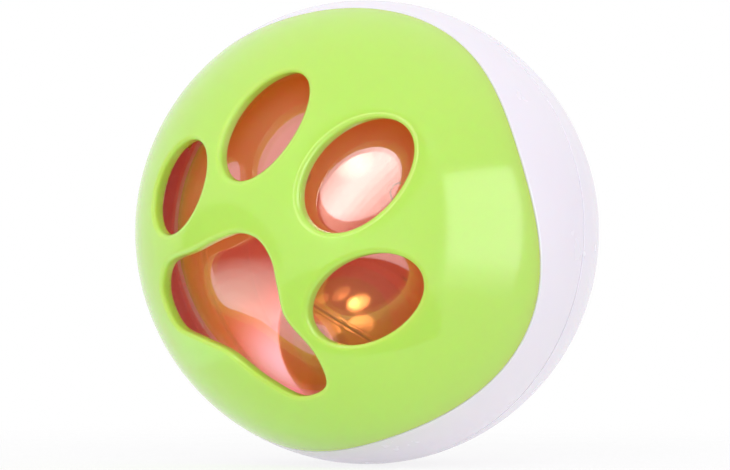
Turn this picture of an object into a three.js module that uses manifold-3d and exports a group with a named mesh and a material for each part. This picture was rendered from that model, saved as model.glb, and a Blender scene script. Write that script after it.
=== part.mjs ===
// Electronic cat ball: paw cover, two-part shell, window dome with a loose bell, and a light module.
// Millimetres. The ball's centre is the origin, its axis is Y, the paw faces -Y and +Z is up.
import * as THREE from 'three';
import { mergeVertices } from 'three/addons/utils/BufferGeometryUtils.js';
import Module from 'manifold-3d';

const wasm = await Module();
wasm.setup();

// Shell
const ballRadius = 37.5;
const shellWall = 2.3;
const clearance = 0.3; // gap between pieces that meet
const lipWall = 1.6; // the ring's inner lip, under the cover and inside the rear shell
const lipOverlap = 11; // degrees that the lip reaches under the cover
const lapLength = 3; // reach of the lip into the rear shell
const beadHeight = 0.45; // snap bead round the lap
const beadWidth = 0.8;
const pegRadius = 1; // pegs that hold the cover to the ring
const pegInset = 0.8; // peg centres inside the lip's inner face
const pegRootDepth = shellWall / 3; // peg roots inside the cover's wall
const ringRoot = lipWall / 4; // ring's outer layer inside its lip

// Wavy seam between the cover and the ring, in degrees from the paw's pole
const seamAngle = 69.9;
const seamWave = 3.4;
const seamLobes = 4;

// Paw cut-outs: places and half sizes in the paw's own upright plane
const pawLean = 27.5; // degrees that the paw leans towards +X
const edgeRound = 0.9;
const toes = [
  { across: -18.2, up: -2.45, halfLength: 7.8, halfWidth: 5.35, lean: 1 },
  { across: -8.8, up: 12.5, halfLength: 9.1, halfWidth: 5.8, lean: 1.6 },
  { across: 8.35, up: 12.65, halfLength: 9.5, halfWidth: 6.65, lean: 6.3 },
  { across: 17.65, up: -3.45, halfLength: 9, halfWidth: 5.8, lean: 30 },
];
const padOutline = [
  [0, -2.5], [-3.4, -3.1], [-6, -5.2], [-10, -9.4], [-14.9, -14.2], [-14.8, -19],
  [-10.9, -22.4], [-5, -21.8], [0.5, -21.2], [7, -22.5], [12.6, -22.6], [16.2, -18.8],
  [14, -14.8], [8.2, -11.3], [5.7, -7.6], [3.2, -4.2],
];

// Window dome and bell chamber
const domeGap = 1.5; // dome inside the ring's lip
const domeWall = 1.5;
const flangeThickness = 1.5;
const backWall = 1.5;

// Bell, lying at the bottom of its chamber
const bellRadius = 13.5; // over the crimped band
const bellCrimp = 0.4;
const bellBand = 0.55;
const bellSheet = 0.6;
const bellBackGap = 1; // bell in front of the chamber's back wall
const bellAxis = new THREE.Vector3(0.478, 0.22, 0.85).normalize();
const bellSlotWidth = 1.8;
const bellSlotReach = 7.5;
const bellSlotEnd = 1.7;
const bellSlotDepth = 1 / 3; // slot cutter's start, as a share of the bell's inner radius
const pelletRadius = 3;

// Self-tapping screws
const screwHeadRadius = 2;
const screwHeadHeight = 1.4;
const screwHeadTop = 0.8; // flat top's share of the head's radius
const screwHeadEdge = 0.7; // upright edge's share of the head's height
const screwRadius = 0.9;
const screwLength = 8;
const pilotDepth = 8.5;

// Chamber screws and the rear shell's posts
const postCircle = 21;
const postAngles = [-90, 30, 150];
const postRadius = 2.6;
const wellDepth = 2.2;
const wellFloor = 1.5;
const wellWall = 0.8;

// Circuit board and its parts
const boardRadius = 17;
const boardThickness = 1.6;
const standoffHeight = 3.2;
const standoffRadius = 2.2;
const boardScrewReach = 14;
const boardScrewLength = 3.5;
const boardScrewHead = 1.8;
const ledCircle = 7;
const ledAngles = [90, 210, 330];
const ledRadius = 1.5;
const ledFlange = 0.4;
const ledRecess = 0.2; // lamp tips behind the chamber's back wall
const canRadius = 2.2;
const canLength = 10;
const canPlace = [8.5, -11.5];
const chipSize = [5, 1.6, 4];
const chipPlace = [-7.5, -11.5];
const capacitorRadius = 2.5;
const capacitorHeight = 5;
const capacitorPlace = [7.5, 11.5];
const resistorRadius = 0.9;
const resistorLength = 5;
const resistorPlace = [-7.5, 11.5];

// Button cells, LR44 size, in their box
const cellRadius = 5.8;
const cellHeight = 5.4;
const cellCap = 0.5;
const cellCapShare = 0.85; // cap's share of the cell's radius
const cellCount = 3;
const cellGap = 0.2;
const cellRoom = 3.7; // cells inside the shell's inner face at the rear pole
const boxWall = 1.2;
const boxRimBelowCells = 0.3;
const contactThickness = 0.5;
const contactSize = 8;
const tabWidth = 2;
const springWire = 0.35;
const springTurns = 2;
const springSmall = 1.5;
const springLarge = 3.9;
const springLength = 2.6;
const springCorner = 0.55; // bend into the tail, as a share of the large coil
const springTailDrop = 1; // straight tail below the large coil
const earRadius = 3;
const earThickness = 1.5;
const earReach = 3; // ear screw outside the box wall
const earBelowRim = 7.4;

// Battery door
const doorCorner = 6;
const doorMargin = 2; // seat width round the opening
const doorBoss = 3.2;
const doorBandStart = 100; // degrees from the paw's pole, ahead of the door
const doorBossFloor = 1.4;
const doorBossDepth = 3.4; // boss bottom below the ball's surface at the screw
const doorScrewLength = 5.5;
const openingCorner = 2;
const openingSlack = 0.6; // opening round the cells

// Slide switch above the door
const switchHeight = 20; // Z of its centre
const switchGap = 0.1; // switch body's outer corners inside the shell
const switchFloorWall = 1.5;
const pocketSize = [11, 6];
const switchTravel = 1.25; // to each side
const knobSize = [6, 1.3, 4];
const knobRibs = 3;
const ribHeight = 0.3;
const ribHalf = 0.25; // half a rib, as a share of the ribs' pitch
const stemSize = [3.5, 2];
const switchBody = [9, 4, 5];
const leadRadius = 0.6;
const leadSpacing = 4;
const leadBoardInset = 2;

// Facets
const around = 32;
const aroundBell = 20;
const aroundSmall = 10;
const arcStep = 11.25;
const bellStep = 18;
const seamSteps = 48;
const toeSteps = 20;
const padSteps = 36;
const cornerSteps = 5;
const lampSteps = 4;
const pelletRows = 8;
const tubeSides = 8;
const leadSteps = 8;
const springSides = 6;
const springPoints = 12; // in each turn
const springFacets = 16; // in each turn
const rearPole = 180; // degrees from the paw's pole
const halfTurn = 180;
const onAxis = 1e-6; // a smaller radius is on the axis

// Sizes that follow from the driving ones
const shellInner = ballRadius - shellWall;
const lipOuter = shellInner - clearance;
const lipInner = lipOuter - lipWall;
const domeRadius = lipInner - domeGap;
const chamberRadius = domeRadius - domeWall;
const cellAxisY = shellInner - cellRoom - cellRadius;
const boxFront = cellAxisY - cellRadius - clearance - boxWall;
const partFront = boxFront;
const boardRear = partFront - clearance;
const boardFront = boardRear - boardThickness;
const standoffRear = boardFront - clearance;
const chamberRear = standoffRear - standoffHeight;
const chamberDepth = chamberRear - backWall; // front of the chamber's back wall, behind the equator
const wellBottom = chamberDepth + wellDepth;
const wellRear = wellBottom + wellFloor;
const wellRadius = screwHeadRadius + clearance;
const pilotRadius = screwRadius + clearance;
const postFront = wellRear + clearance;
const boxHalfWidth = cellRadius + clearance + boxWall;
const boxRim = cellAxisY + cellRadius - boxRimBelowCells;
const stackLength = cellCount * cellHeight + (cellCount - 1) * cellGap;
const contactRoom = contactThickness + 2 * clearance;
const springRoom = springLength + 2 * clearance;
const boxInside = stackLength + contactRoom + springRoom;
const boxHalfLength = boxInside / 2 + boxWall;
const stackStart = -boxInside / 2 + contactRoom;
const earCircle = boxHalfWidth + earReach;
const earRear = boxRim - earBelowRim + earThickness;
const openingHalf = [boxInside / 2 + openingSlack, cellRadius + openingSlack];
const doorScrewX = boxHalfLength + clearance + doorBoss + clearance + boxWall;
const doorEnds = [-openingHalf[0] - doorMargin, doorScrewX + doorBoss + boxWall];
const doorHalfWidth = openingHalf[1] + doorMargin;
const doorSeat = ballRadius - shellWall / 2;
const doorScrewSurface = Math.sqrt(ballRadius ** 2 - (doorScrewX + screwHeadRadius) ** 2);
const doorBossFront = doorScrewSurface - doorBossDepth;
const doorHeadSeat = doorBossFront + doorBossFloor;
const bellOrbit = chamberRadius - clearance - bellRadius;
const bellForward = bellRadius + bellBackGap - chamberDepth;
const bellCentre = new THREE.Vector3(0, -bellForward, -Math.sqrt(bellOrbit ** 2 - bellForward ** 2));
const bellOuter = bellRadius - bellCrimp;
const bellInner = bellOuter - bellSheet;
const pawUp = 90 - pawLean;

const radians = THREE.MathUtils.degToRad;

// Solids from closed geometries: vertices merged, flat triangles dropped and faces turned outwards
function toSolid(geometry) {
  geometry.deleteAttribute('normal');
  geometry.deleteAttribute('uv');
  const merged = mergeVertices(geometry);
  const points = merged.attributes.position.array;
  const corners = merged.index.array;
  const kept = [];
  let volume = 0;
  const [a, b, c] = [new THREE.Vector3(), new THREE.Vector3(), new THREE.Vector3()];
  for (let i = 0; i < corners.length; i += 3) {
    const [p, q, r] = corners.slice(i, i + 3);
    if (p === q || q === r || r === p) continue;
    kept.push(p, q, r);
    a.fromArray(points, 3 * p);
    b.fromArray(points, 3 * q);
    c.fromArray(points, 3 * r);
    volume += a.dot(b.cross(c));
  }
  if (volume < 0) kept.reverse();
  const mesh = new wasm.Mesh({
    numProp: 3, vertProperties: new Float32Array(points), triVerts: new Uint32Array(kept),
  });
  return new wasm.Manifold(mesh);
}

function toGeometry(solid) {
  const mesh = solid.getMesh();
  const geometry = new THREE.BufferGeometry();
  geometry.setAttribute('position', new THREE.BufferAttribute(mesh.vertProperties, 3));
  geometry.setIndex(new THREE.BufferAttribute(mesh.triVerts, 1));
  geometry.computeVertexNormals();
  return geometry;
}

const joined = (solids) => solids.reduce((whole, piece) => whole.add(piece));
const cut = (solid, tools) => tools.reduce((rest, tool) => rest.subtract(tool), solid);

// Points at a radius, from one angle to another, in degrees from the paw's pole
function arc(radius, from, to, step = arcStep) {
  const steps = Math.max(1, Math.ceil(Math.abs(to - from) / step));
  return Array.from({ length: steps + 1 }, (_, i) => {
    const angle = radians(from + ((to - from) * i) / steps);
    const out = radius * Math.sin(angle);
    return new THREE.Vector2(out < onAxis ? 0 : out, -radius * Math.cos(angle));
  });
}

const at = (out, y) => new THREE.Vector2(out, y);
const onSphere = (radius, y) => at(Math.sqrt(radius ** 2 - y ** 2), y);

// Solid of revolution about Y
function revolve(profile, segments = around) {
  const first = profile[0];
  const last = profile[profile.length - 1];
  const closed = first.x > 0 || last.x > 0 ? [...profile, first] : profile;
  return toSolid(new THREE.LatheGeometry(closed, segments));
}

const polarAngle = (radius, y) => THREE.MathUtils.radToDeg(Math.acos(-y / radius));
const ball = (radius) => revolve(arc(radius, 0, rearPole));
const shellBand = (inner, outer, from, to) => {
  return revolve([...arc(outer, from, to), ...arc(inner, to, from)]);
};

function rod(radius, x, z, yFrom, yTo, segments = aroundSmall) {
  const geometry = new THREE.CylinderGeometry(radius, radius, yTo - yFrom, segments);
  return toSolid(geometry.translate(x, (yFrom + yTo) / 2, z));
}

function rodAlongX(radius, xFrom, xTo, y, z, segments = aroundSmall) {
  const geometry = new THREE.CylinderGeometry(radius, radius, xTo - xFrom, segments);
  return toSolid(geometry.rotateZ(Math.PI / 2).translate((xFrom + xTo) / 2, y, z));
}

function block(from, to) {
  const size = to.map((value, i) => value - from[i]);
  const middle = to.map((value, i) => (value + from[i]) / 2);
  return toSolid(new THREE.BoxGeometry(...size).translate(...middle));
}

// Prism along Y over a rounded rectangle in X and Z
function roundedPrism(xFrom, xTo, halfWidth, corner, yFrom, yTo) {
  const shape = new THREE.Shape();
  shape.moveTo(xFrom + corner, -halfWidth);
  shape.lineTo(xTo - corner, -halfWidth);
  shape.absarc(xTo - corner, -halfWidth + corner, corner, -Math.PI / 2, 0);
  shape.absarc(xTo - corner, halfWidth - corner, corner, 0, Math.PI / 2);
  shape.absarc(xFrom + corner, halfWidth - corner, corner, Math.PI / 2, Math.PI);
  shape.absarc(xFrom + corner, -halfWidth + corner, corner, Math.PI, 1.5 * Math.PI);
  const options = { depth: yTo - yFrom, bevelEnabled: false, curveSegments: cornerSteps };
  return toSolid(new THREE.ExtrudeGeometry(shape, options).rotateX(Math.PI / 2).translate(0, yTo, 0));
}

function tube(points, radius, steps, sides = tubeSides) {
  const section = new THREE.Shape();
  section.absarc(0, 0, radius, 0, 2 * Math.PI);
  const path = new THREE.CatmullRomCurve3(points);
  const options = { steps, extrudePath: path, curveSegments: sides / 2, bevelEnabled: false };
  return toSolid(new THREE.ExtrudeGeometry(section, options));
}

// Closed solid through rings of equally many points, capped at both ends
function loft(rings) {
  const count = rings[0].length;
  const positions = rings.flat().flatMap((point) => point.toArray());
  const index = [];
  for (let ring = 0; ring + 1 < rings.length; ring += 1) {
    for (let i = 0; i < count; i += 1) {
      const next = (i + 1) % count;
      const low = ring * count;
      const high = low + count;
      index.push(low + i, high + i, low + next, low + next, high + i, high + next);
    }
  }
  const flat = rings[0].map((point) => at(point.x, point.z));
  const cap = THREE.ShapeUtils.triangulateShape(flat, []);
  const top = (rings.length - 1) * count;
  cap.forEach(([p, q, r]) => index.push(p, q, r, top + p, top + r, top + q));
  const geometry = new THREE.BufferGeometry();
  geometry.setAttribute('position', new THREE.Float32BufferAttribute(positions, 3));
  geometry.setIndex(index);
  return toSolid(geometry);
}

const screwProfile = (headRadius, headHeight, radius, length) => [
  at(0, -headHeight), at(headRadius * screwHeadTop, -headHeight),
  at(headRadius, -headHeight * screwHeadEdge),
  at(headRadius, 0), at(radius, 0), at(radius, length - radius), at(0, length),
];

// Screw with its head's seat at y, driven towards +Y or turned round towards -Y
function screw(x, y, z, turned = false, length = screwLength, headRadius = screwHeadRadius) {
  const profile = screwProfile(headRadius, screwHeadHeight, screwRadius, length);
  return revolve(profile, aroundSmall).rotate([turned ? halfTurn : 0, 0, 0]).translate([x, y, z]);
}

const onCircle = (radius, angle) => {
  return [radius * Math.cos(radians(angle)), radius * Math.sin(radians(angle))];
};

// Everything in front of the wavy seam, shifted along the surface
function frontOfSeam(shift) {
  const far = 2 * ballRadius;
  const points = [0, 0, 0, 0, -2 * far, 0];
  const index = [];
  for (let i = 0; i < seamSteps; i += 1) {
    const turn = (360 * i) / seamSteps;
    const wave = seamAngle + seamWave * Math.cos(radians(seamLobes * (turn - pawUp)));
    const angle = radians(wave) + shift / ballRadius;
    const [x, z] = onCircle(far * Math.sin(angle), turn);
    points.push(x, -far * Math.cos(angle), z);
    const [here, next] = [2 + i, 2 + ((i + 1) % seamSteps)];
    index.push(0, here, next, 1, next, here);
  }
  const geometry = new THREE.BufferGeometry();
  geometry.setAttribute('position', new THREE.Float32BufferAttribute(points, 3));
  geometry.setIndex(index);
  return toSolid(geometry);
}

// Paw outlines in X and Z, counter-clockwise
function toeOutline(toe) {
  const curve = new THREE.EllipseCurve(0, 0, toe.halfWidth, toe.halfLength);
  const centre = at(toe.across, toe.up);
  const middle = at(0, 0);
  return curve.getPoints(toeSteps).slice(0, -1)
    .map((point) => point.rotateAround(middle, -radians(toe.lean)).add(centre));
}

function padPoints() {
  const points = padOutline.map(([u, v]) => new THREE.Vector3(u, v, 0));
  const curve = new THREE.CatmullRomCurve3(points, true);
  return curve.getSpacedPoints(padSteps).slice(0, -1).map((point) => at(point.x, point.y));
}

// Cutter along the ball's axis whose rim flares out, so that the cut-out's edge is rounded
function pawCutter(outline) {
  const leaning = outline.map((point) => point.rotateAround(at(0, 0), -radians(pawLean)));
  const outward = leaning.map((_, i) => {
    const before = leaning[(i + leaning.length - 1) % leaning.length];
    const along = leaning[(i + 1) % leaning.length].clone().sub(before);
    return at(along.y, -along.x).normalize();
  });
  const ring = (grow, height) => leaning.map((point, i) => {
    const moved = point.clone().addScaledVector(outward[i], grow);
    return new THREE.Vector3(moved.x, height(moved), moved.y);
  });
  const below = (depth) => (point) => -Math.sqrt((ballRadius - depth) ** 2 - point.lengthSq());
  const bevel = edgeRound * (1 - Math.SQRT1_2);
  return loft([
    ring(0, () => -domeRadius / 2), ring(0, below(edgeRound)), ring(bevel, below(bevel)),
    ring(edgeRound, below(0)), ring(edgeRound, () => -ballRadius - edgeRound),
  ]);
}

// Cover with its cut-outs, and one peg under each lobe of its edge
const pegPlaces = Array.from({ length: seamLobes }, (_, i) => {
  return onCircle(lipInner - pegInset, pawUp + (360 * i) / seamLobes);
});
const pegTip = -Math.sqrt(lipInner ** 2 - (lipInner - pegInset) ** 2);
const pegRoot = -Math.sqrt((shellInner + pegRootDepth) ** 2 - (lipInner - pegInset) ** 2);

function frontCover() {
  const band = shellBand(shellInner, ballRadius, 0, seamAngle + 2 * seamWave);
  const cap = band.intersect(frontOfSeam(-clearance / 2));
  const cutters = [...toes.map(toeOutline), padPoints()].map(pawCutter);
  const pegs = pegPlaces.map(([x, z]) => rod(pegRadius, x, z, pegRoot, pegTip));
  return joined([cut(cap, cutters), ...pegs]);
}

// Ring with its wavy outer layer, and the lip that carries the cover and laps into the rear shell
const beadMiddle = lapLength - beadWidth;

function frontRing() {
  const equator = polarAngle(ballRadius, -clearance / 2);
  const outer = shellBand(lipOuter - ringRoot, ballRadius, seamAngle - 2 * seamWave, equator);
  const lipStart = seamAngle - lipOverlap;
  const lip = revolve([
    ...arc(lipOuter, lipStart, polarAngle(lipOuter, beadMiddle - beadWidth)),
    at(lipOuter + beadHeight, beadMiddle - beadWidth / 2),
    at(lipOuter + beadHeight, beadMiddle + beadWidth / 2),
    onSphere(lipOuter, lapLength),
    ...arc(lipInner, polarAngle(lipInner, lapLength), lipStart),
  ]);
  const holes = pegPlaces.map(([x, z]) => {
    return rod(pegRadius + clearance, x, z, -shellInner / 2, pegTip + clearance);
  });
  return cut(outer.subtract(frontOfSeam(clearance / 2)).add(lip), holes);
}

// Rear half with posts, bosses, battery opening and switch pocket
const postPlaces = postAngles.map((angle) => onCircle(postCircle, angle));
const earPlaces = [[0, earCircle], [0, -earCircle]];
const grooveRadius = lipOuter + beadHeight + clearance;
const grooveFront = beadMiddle - beadWidth - clearance;
const grooveRear = beadMiddle + beadWidth + clearance;
const bossFront = earRear + clearance;
const doorPostFront = doorHeadSeat - doorScrewLength - clearance;
const doorPostRadius = doorBoss + clearance + boxWall;
const switchReach = Math.hypot(switchHeight + switchBody[2] / 2, switchBody[0] / 2);
const bodyRear = Math.sqrt(shellInner ** 2 - switchReach ** 2) - switchGap;
const switchFloor = bodyRear + clearance + switchFloorWall;
const pocketLow = switchHeight - pocketSize[1] / 2;
const pocketHigh = switchHeight + pocketSize[1] / 2;
const slotHalf = stemSize[0] / 2 + switchTravel + clearance;

function rearShell() {
  const rim = clearance / 2;
  const shell = revolve([
    ...arc(ballRadius, polarAngle(ballRadius, rim), rearPole),
    ...arc(shellInner, rearPole, polarAngle(shellInner, grooveRear)),
    at(grooveRadius, grooveRear - beadWidth / 2), at(grooveRadius, grooveFront + beadWidth / 2),
    onSphere(shellInner, grooveFront), onSphere(shellInner, rim),
  ]);
  const inside = ball(shellInner + shellWall / 2);
  const posts = joined([
    ...postPlaces.map(([x, z]) => rod(postRadius, x, z, postFront, ballRadius)),
    ...earPlaces.map(([x, z]) => rod(postRadius, x, z, bossFront, ballRadius)),
    rod(doorPostRadius, doorScrewX, 0, doorPostFront, ballRadius),
  ]).intersect(inside);
  const pocketWalls = block(
    [-pocketSize[0] / 2 - boxWall, switchFloor - switchFloorWall, pocketLow - boxWall],
    [pocketSize[0] / 2 + boxWall, ballRadius, pocketHigh + boxWall],
  ).intersect(ball(ballRadius - clearance));
  const door = doorOutline(clearance).subtract(ball(doorSeat - clearance / 2));
  return cut(joined([shell, posts, pocketWalls]), [
    ...postPlaces.map(([x, z]) => rod(pilotRadius, x, z, 0, postFront + pilotDepth)),
    ...earPlaces.map(([x, z]) => rod(pilotRadius, x, z, 0, bossFront + screwLength - earThickness)),
    rod(pilotRadius, doorScrewX, 0, 0, ballRadius),
    rod(doorBoss + clearance, doorScrewX, 0, doorBossFront - clearance, ballRadius),
    door,
    openingPrism(0),
    block([-pocketSize[0] / 2, switchFloor, pocketLow], [pocketSize[0] / 2, ballRadius, pocketHigh]),
    block(
      [-slotHalf, 0, switchHeight - stemSize[1] / 2 - clearance],
      [slotHalf, ballRadius, switchHeight + stemSize[1] / 2 + clearance],
    ),
  ]);
}

const doorOutline = (grow) => roundedPrism(
  doorEnds[0] - grow, doorEnds[1] + grow, doorHalfWidth + grow, doorCorner + grow,
  boxRim / 2, ballRadius + clearance,
);
const openingPrism = (grow) => roundedPrism(
  -openingHalf[0] - grow, openingHalf[0] + grow, openingHalf[1] + grow, openingCorner,
  boxRim, ballRadius + clearance,
);

// Door: a skin that seats in the shell's step, a plug in the opening and a boss for its screw
function batteryDoor() {
  const skinBand = shellBand(doorSeat + clearance / 2, ballRadius, doorBandStart, rearPole);
  const skin = doorOutline(0).intersect(skinBand);
  const plugBand = shellBand(shellInner, doorSeat + clearance, doorBandStart, rearPole);
  const plug = openingPrism(-clearance).intersect(plugBand);
  const boss = rod(doorBoss, doorScrewX, 0, doorBossFront, ballRadius)
    .intersect(ball(ballRadius - clearance / 2));
  return cut(joined([skin, plug, boss]), [
    rod(pilotRadius, doorScrewX, 0, 0, ballRadius),
    rod(screwHeadRadius + clearance, doorScrewX, 0, doorHeadSeat, ballRadius),
  ]);
}

// Dome and back of the bell chamber, flange to flange at the equator
const flangeRadius = lipInner - clearance;

function innerDome() {
  const rim = -clearance / 2;
  return revolve([
    ...arc(domeRadius, 0, polarAngle(domeRadius, rim - flangeThickness)),
    at(flangeRadius, rim - flangeThickness), at(flangeRadius, rim),
    ...arc(chamberRadius, polarAngle(chamberRadius, rim), 0),
  ]);
}

function chamberBack() {
  const rim = clearance / 2;
  const bowl = revolve([
    at(0, chamberDepth),
    ...arc(chamberRadius, polarAngle(chamberRadius, chamberDepth), polarAngle(chamberRadius, rim)),
    at(flangeRadius, rim), at(flangeRadius, rim + flangeThickness),
    ...arc(domeRadius, polarAngle(domeRadius, rim + flangeThickness), polarAngle(domeRadius, chamberRear)),
    at(0, chamberRear),
  ]);
  const middle = (chamberDepth + chamberRear) / 2;
  const wells = postPlaces.map(([x, z]) => rod(wellRadius + wellWall, x, z, middle, wellRear));
  const standoffs = boardScrewPlaces.map(([x, z]) => rod(standoffRadius, x, z, middle, standoffRear));
  return cut(joined([bowl, ...wells, ...standoffs]), [
    ...postPlaces.map(([x, z]) => rod(wellRadius, x, z, 0, wellBottom)),
    ...postPlaces.map(([x, z]) => rod(pilotRadius, x, z, 0, boardRear)),
    ...boardScrewPlaces.map(([x, z]) => rod(pilotRadius, x, z, chamberRear, boardRear)),
    ...ledPlaces.map(([x, z]) => rod(ledRadius + clearance, x, z, 0, boardRear)),
  ]);
}

// Bell halves about Y, band to band, the lower one slotted
function bellHalf() {
  const start = clearance / 2;
  return revolve([
    at(bellRadius, start), at(bellRadius, start + bellBand),
    ...arc(bellOuter, polarAngle(bellOuter, start + bellBand), rearPole, bellStep),
    ...arc(bellInner, rearPole, polarAngle(bellInner, start), bellStep),
  ], aroundBell);
}

function slottedBellHalf() {
  const start = bellInner * bellSlotDepth;
  const slot = block(
    [-bellSlotReach, start, -bellSlotWidth / 2], [bellSlotReach, bellRadius, bellSlotWidth / 2],
  );
  const ends = [-bellSlotReach, bellSlotReach].map((x) => rod(bellSlotEnd, x, 0, start, bellRadius));
  return cut(bellHalf(), [slot, ...ends]).rotate([halfTurn, 0, 0]);
}

// Board with its screws, lamps and parts
const boardScrewPlaces = [[boardScrewReach, 0], [-boardScrewReach, 0]];
const ledPlaces = ledAngles.map((angle) => onCircle(ledCircle, angle));

function circuitBoard() {
  const holes = boardScrewPlaces.map(([x, z]) => rod(pilotRadius, x, z, 0, ballRadius));
  return cut(rod(boardRadius, 0, 0, boardFront, boardRear, around), holes);
}

function lamp(x, z) {
  const rear = boardFront - clearance;
  const tip = chamberDepth + ledRecess;
  const round = Array.from({ length: lampSteps + 1 }, (_, i) => {
    const angle = (Math.PI / 2) * (i / lampSteps);
    return at(i ? ledRadius * Math.sin(angle) : 0, tip + ledRadius * (1 - Math.cos(angle)));
  });
  const flange = rear - 2 * ledFlange;
  return revolve([
    ...round, at(ledRadius, flange), at(ledRadius + ledFlange, flange),
    at(ledRadius + ledFlange, rear), at(0, rear),
  ], aroundSmall).translate([x, 0, z]);
}

function controlChip() {
  const [x, z] = chipPlace;
  const [wide, high, deep] = chipSize;
  return block([x - wide / 2, partFront, z - deep / 2], [x + wide / 2, partFront + high, z + deep / 2]);
}

const lyingRod = (radius, length, [x, z]) => {
  return rodAlongX(radius, x - length / 2, x + length / 2, partFront + radius, z);
};

// Battery box: a trough for the cells with two screw ears, slotted for the contact and the spring's tail
function batteryBox() {
  const earFront = earRear - earThickness;
  const body = block([-boxHalfLength, boxFront, -boxHalfWidth], [boxHalfLength, boxRim, boxHalfWidth]);
  const ears = earPlaces.flatMap(([x, z]) => [
    rod(earRadius, x, z, earFront, earRear),
    block([x - earRadius, earFront, Math.min(0, z)], [x + earRadius, earRear, Math.max(0, z)]),
  ]);
  const troughRadius = cellRadius + clearance;
  const halfInside = boxInside / 2;
  return cut(joined([body, ...ears]), [
    rodAlongX(troughRadius, -halfInside, halfInside, cellAxisY, 0, aroundBell),
    block([-halfInside, cellAxisY, -troughRadius], [halfInside, ballRadius, troughRadius]),
    ...earPlaces.map(([x, z]) => rod(pilotRadius, x, z, 0, ballRadius)),
    ...[contactX, springFar].map((x) => block(
      [x - contactThickness / 2 - clearance, 0, -tabWidth / 2 - clearance],
      [x + contactThickness / 2 + clearance, cellAxisY, tabWidth / 2 + clearance],
    )),
  ]);
}

function cell(i) {
  const from = stackStart + i * (cellHeight + cellGap);
  const capRadius = cellRadius * cellCapShare;
  const profile = [
    at(0, 0), at(capRadius, 0), at(capRadius, cellCap), at(cellRadius, cellCap),
    at(cellRadius, cellHeight - cellCap / 2), at(cellRadius - cellCap / 2, cellHeight), at(0, cellHeight),
  ];
  return revolve(profile, aroundBell).rotate([0, 0, 90]).translate([from + cellHeight, cellAxisY, 0]);
}

const contactX = -boxInside / 2 + clearance + contactThickness / 2;
const springFar = boxInside / 2 - clearance - springWire;

function positiveContact() {
  const half = contactSize / 2;
  const [xFrom, xTo] = [contactX - contactThickness / 2, contactX + contactThickness / 2];
  return block([xFrom, cellAxisY - half, -half], [xTo, cellAxisY + half, half])
    .add(block([xFrom, partFront, -tabWidth / 2], [xTo, cellAxisY, tabWidth / 2]));
}

// Conical spring that ends in a straight tail down to the board
function negativeSpring() {
  const steps = springPoints * springTurns;
  const near = springFar - springLength + 2 * springWire;
  const coil = Array.from({ length: steps + 1 }, (_, i) => {
    const share = i / steps;
    const radius = springSmall + (springLarge - springSmall) * share;
    const turn = 2 * Math.PI * springTurns * share;
    const x = near + (springFar - near) * share;
    return new THREE.Vector3(x, cellAxisY - radius * Math.sin(turn), radius * Math.cos(turn));
  });
  const corner = new THREE.Vector3(springFar, cellAxisY - springLarge, springLarge * springCorner);
  const tail = [cellAxisY - springLarge - springTailDrop, boxFront + boxWall, partFront]
    .map((y) => new THREE.Vector3(springFar, y, 0));
  return tube([...coil.slice(0, -1), corner, ...tail], springWire, springFacets * springTurns, springSides);
}

// Slide switch: the body under the pocket floor, and the knob whose stem passes the slot
function switchCase() {
  const [wide, deep, high] = switchBody;
  return block(
    [-wide / 2, bodyRear - deep, switchHeight - high / 2], [wide / 2, bodyRear, switchHeight + high / 2],
  );
}

function switchKnob() {
  const [wide, thick, high] = knobSize;
  const front = switchFloor + clearance;
  const plate = block(
    [-wide / 2, front, switchHeight - high / 2], [wide / 2, front + thick, switchHeight + high / 2],
  );
  const stem = block(
    [-stemSize[0] / 2, bodyRear + clearance, switchHeight - stemSize[1] / 2],
    [stemSize[0] / 2, front + thick / 2, switchHeight + stemSize[1] / 2],
  );
  const pitch = wide / (knobRibs + 1);
  const ribs = Array.from({ length: knobRibs }, (_, i) => {
    const x = -wide / 2 + pitch * (i + 1);
    return block(
      [x - pitch * ribHalf, front + thick / 2, switchHeight - high / 2],
      [x + pitch * ribHalf, front + thick + ribHeight, switchHeight + high / 2],
    );
  });
  return joined([plate, stem, ...ribs]);
}

function switchLead(side) {
  const x = (side * leadSpacing) / 2;
  const start = bodyRear - switchBody[1] - clearance;
  const boardZ = boardRadius - leadBoardInset;
  const points = [
    [x, start, switchHeight], [x, start - 2 * leadRadius, switchHeight],
    [x, (start + partFront) / 2, (switchHeight + boardZ) / 2],
    [x, partFront + 2 * leadRadius, boardZ], [x, partFront, boardZ],
  ].map((point) => new THREE.Vector3(...point));
  return tube(points, leadRadius, leadSteps);
}

// Materials
const material = (color, roughness, metalness = 0, opacity = 1) => new THREE.MeshStandardMaterial({
  color, roughness, metalness, opacity, transparent: opacity < 1,
});
const greenPlastic = material(0xb9ec66, 0.25);
const whitePlastic = material(0xece6f0, 0.3);
const redWindow = material(0xc4281a, 0.08, 0, 0.5);
const innerWhite = material(0xf3e9e6, 0.45);
const brass = material(0xc99a45, 0.2, 1);
const steel = material(0xb4b4b2, 0.3, 1);
const boardGreen = material(0x2f6b3a, 0.5);
const lampRed = material(0xe04030, 0.15, 0, 0.8);
const blackPlastic = material(0x222222, 0.5);
const tan = material(0xd9b98a, 0.5);
const redWire = material(0xb8201c, 0.5);

// Assembly
const catBall = new THREE.Group();
catBall.name = 'electronic_cat_ball';

function place(name, solid, surface, parent = catBall) {
  const mesh = new THREE.Mesh(toGeometry(solid), surface);
  mesh.name = name;
  parent.add(mesh);
}

place('front_cover', frontCover(), greenPlastic);
place('front_ring', frontRing(), whitePlastic);
place('rear_shell', rearShell(), whitePlastic);
place('inner_dome', innerDome(), redWindow);
place('chamber_back', chamberBack(), innerWhite);

const bell = new THREE.Group();
bell.position.copy(bellCentre);
bell.quaternion.setFromUnitVectors(new THREE.Vector3(0, 1, 0), bellAxis);
catBall.add(bell);
place('bell_upper', bellHalf(), brass, bell);
place('bell_lower', slottedBellHalf(), brass, bell);

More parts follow.
